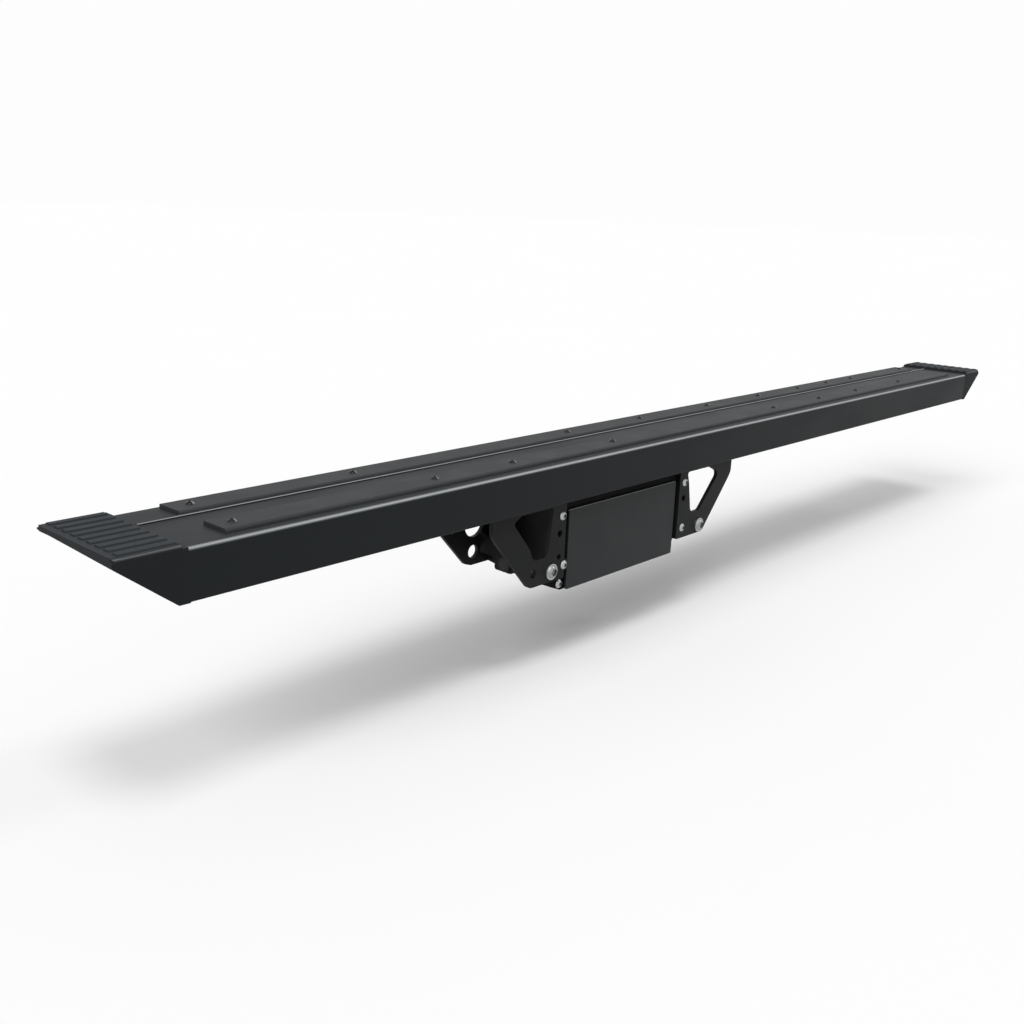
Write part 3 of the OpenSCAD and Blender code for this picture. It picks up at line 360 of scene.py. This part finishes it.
def mark_sockets(mesh, socket_r, rest=0.0):
    """Writes 1 at the floor of each screw's tool socket, where shade is painted, and rest elsewhere. The
    heads face the front.
    """
    marks = [rest] * len(mesh.vertices)
    for screw in loose_parts(mesh):
        low, high = ([pick(v.co[i] for v in screw) for i in range(3)] for pick in (min, max))
        middle_x, tip, middle_z = (low[0] + high[0]) / 2, low[1], (low[2] + high[2]) / 2
        for v in screw:
            off = math.hypot(v.co.x - middle_x, v.co.z - middle_z)
            if off < socket_r * SOCKET_SLACK and v.co.y > tip + SOCKET_SINK:
                marks[v.index] = 1.0
    mesh.attributes.new("socket", "FLOAT", "POINT").data.foreach_set("value", marks)


mark_sockets(nodes["case_screws"].data, CASE_SOCKET_R)
mark_sockets(nodes["stop_bolts"].data, STOP_SOCKET_R, STOP_DARKENING)

# Every CAD node keeps the finish that the record names for it
parts = frame["record"]["subparts"]
slot_of = {part["node"]: part["material_slot"] for part in parts if "material_slot" in part}
for name, obj in nodes.items():
    slot = slot_of[name]
    obj.data.materials.clear()
    obj.data.materials.append(MATERIALS[slot])


# Thin forms that close the slits beside the drive case, and the hole behind each end cap's mitre

def add_form(name, corners, faces, side, slot):
    """Faces are listed for the right side of the step and turned over for the left."""
    if side < 0:
        faces = [face[::-1] for face in faces]
    mesh = bpy.data.meshes.new(name)
    mesh.from_pydata(corners, [], faces)
    mesh.materials.append(MATERIALS[slot])
    form = bpy.data.objects.new(name, mesh)
    bpy.context.scene.collection.objects.link(form)
    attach(form, "step")


def make_lip_seal(name, side):
    corners = [(side * x, y, z) for x in SLIT_X for y in SLIT_Y for z in SLIT_Z]
    faces = [(0, 1, 3, 2), (4, 6, 7, 5), (0, 4, 5, 1), (2, 3, 7, 6), (0, 2, 6, 4), (1, 5, 7, 3)]
    add_form(name, corners, faces, side, "seal_rubber")


def make_cap_web(name, cap, side):
    low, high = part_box(cap)
    outer = high.x if side > 0 else low.x
    corners = [(outer + side * x * MM, high.y + y * MM, high.z + z * MM + rise)
               for rise in (WEB_SINK, WEB_SINK + WEB_T) for x, y, z in WEB_CORNERS]
    faces = [(0, 1, 2), (5, 4, 3), (1, 0, 3, 4), (2, 1, 4, 5), (0, 2, 5, 3)]
    add_form(name, corners, faces, side, "cap_plastic")


make_lip_seal("left_lip_seal", -1)
make_lip_seal("right_lip_seal", 1)
make_cap_web("left_cap_web", "left_end_cap", -1)
make_cap_web("right_cap_web", "right_end_cap", 1)


# Camera, floor, world and lamps

def make_camera():
    yaw, pitch, roll = (math.radians(v) for v in (CAMERA_YAW, CAMERA_PITCH, CAMERA_ROLL))
    ahead = Vector((math.sin(yaw) * math.cos(pitch), math.cos(yaw) * math.cos(pitch), -math.sin(pitch)))
    level = Vector((math.cos(yaw), -math.sin(yaw), 0))
    upward = level.cross(ahead)
    right = math.cos(roll) * level + math.sin(roll) * upward
    up = -math.sin(roll) * level + math.cos(roll) * upward
    turn = Matrix((right, up, -ahead)).transposed().to_4x4()
    data = bpy.data.cameras.new("camera")
    data.sensor_width = SENSOR_MM
    data.lens = FOCAL_PX / IMAGE_PX * SENSOR_MM
    data.clip_end = CAMERA_CLIP_END
    cam = bpy.data.objects.new("camera", data)
    bpy.context.scene.collection.objects.link(cam)
    cam.matrix_world = Matrix.Translation(CAMERA_AT) @ turn
    bpy.context.scene.camera = cam


def seen_directly(tree):
    """1 where the camera, a reflection or a glass sees it, 0 where it only lights the object."""
    path = tree.nodes.new("ShaderNodeLightPath")
    first = calc(tree, "MAXIMUM", path.outputs["Is Camera Ray"], path.outputs["Is Glossy Ray"])
    return calc(tree, "MAXIMUM", first, path.outputs["Is Transmission Ray"])


def make_floor():
    ends = (-FLOOR_HALF, FLOOR_HALF)
    mesh = bpy.data.meshes.new("floor")
    mesh.from_pydata([(x, y, FLOOR_Z) for y in ends for x in ends], [], [(0, 1, 3, 2)])
    floor = bpy.data.objects.new("floor", mesh)
    bpy.context.scene.collection.objects.link(floor)
    mat, tree, shader = new_material("floor")
    slow = noise(tree, object_coords(tree), size_mm=900.0, detail=2.0)
    pale = blend(tree, slow, FLOOR_SEEN_DARK, FLOOR_SEEN_LIGHT)
    tree.links.new(blend(tree, seen_directly(tree), FLOOR_UNSEEN, pale), shader.inputs["Base Color"])
    shader.inputs["Roughness"].default_value = 0.9
    shader.inputs["Specular IOR Level"].default_value = 0.0
    mesh.materials.append(mat)


def make_world():
    world = bpy.data.worlds.new("studio")
    bpy.context.scene.world = world
    world.use_nodes = True
    tree = world.node_tree
    back = tree.nodes["Background"]
    back.inputs["Color"].default_value = (1, 1, 1, 1)
    strength = ramp(tree, seen_directly(tree), WORLD_UNSEEN, WORLD_SEEN, from_low=0.0, from_high=1.0)
    tree.links.new(strength, back.inputs["Strength"])


def make_sun(name, strength, angle, lean_x, lean_y):
    """The sun stands at lean_x along X and lean_y along Y for each metre of height."""
    data = bpy.data.lights.new(name, "SUN")
    data.energy = strength
    data.angle = math.radians(angle)
    lamp = bpy.data.objects.new(name, data)
    bpy.context.scene.collection.objects.link(lamp)
    lamp.rotation_mode = "QUATERNION"
    lamp.rotation_quaternion = Vector((lean_x, lean_y, 1)).to_track_quat("Z", "Y")


make_camera()
make_floor()
make_world()
make_sun("key", strength=1.84, angle=39, lean_x=-1.23, lean_y=-0.33)
make_sun("top", strength=0.74, angle=17, lean_x=-0.18, lean_y=-0.35)
make_sun("glint", strength=0.22, angle=9, lean_x=1.16, lean_y=-0.54)

bpy.context.scene.view_settings.view_transform = "Standard"
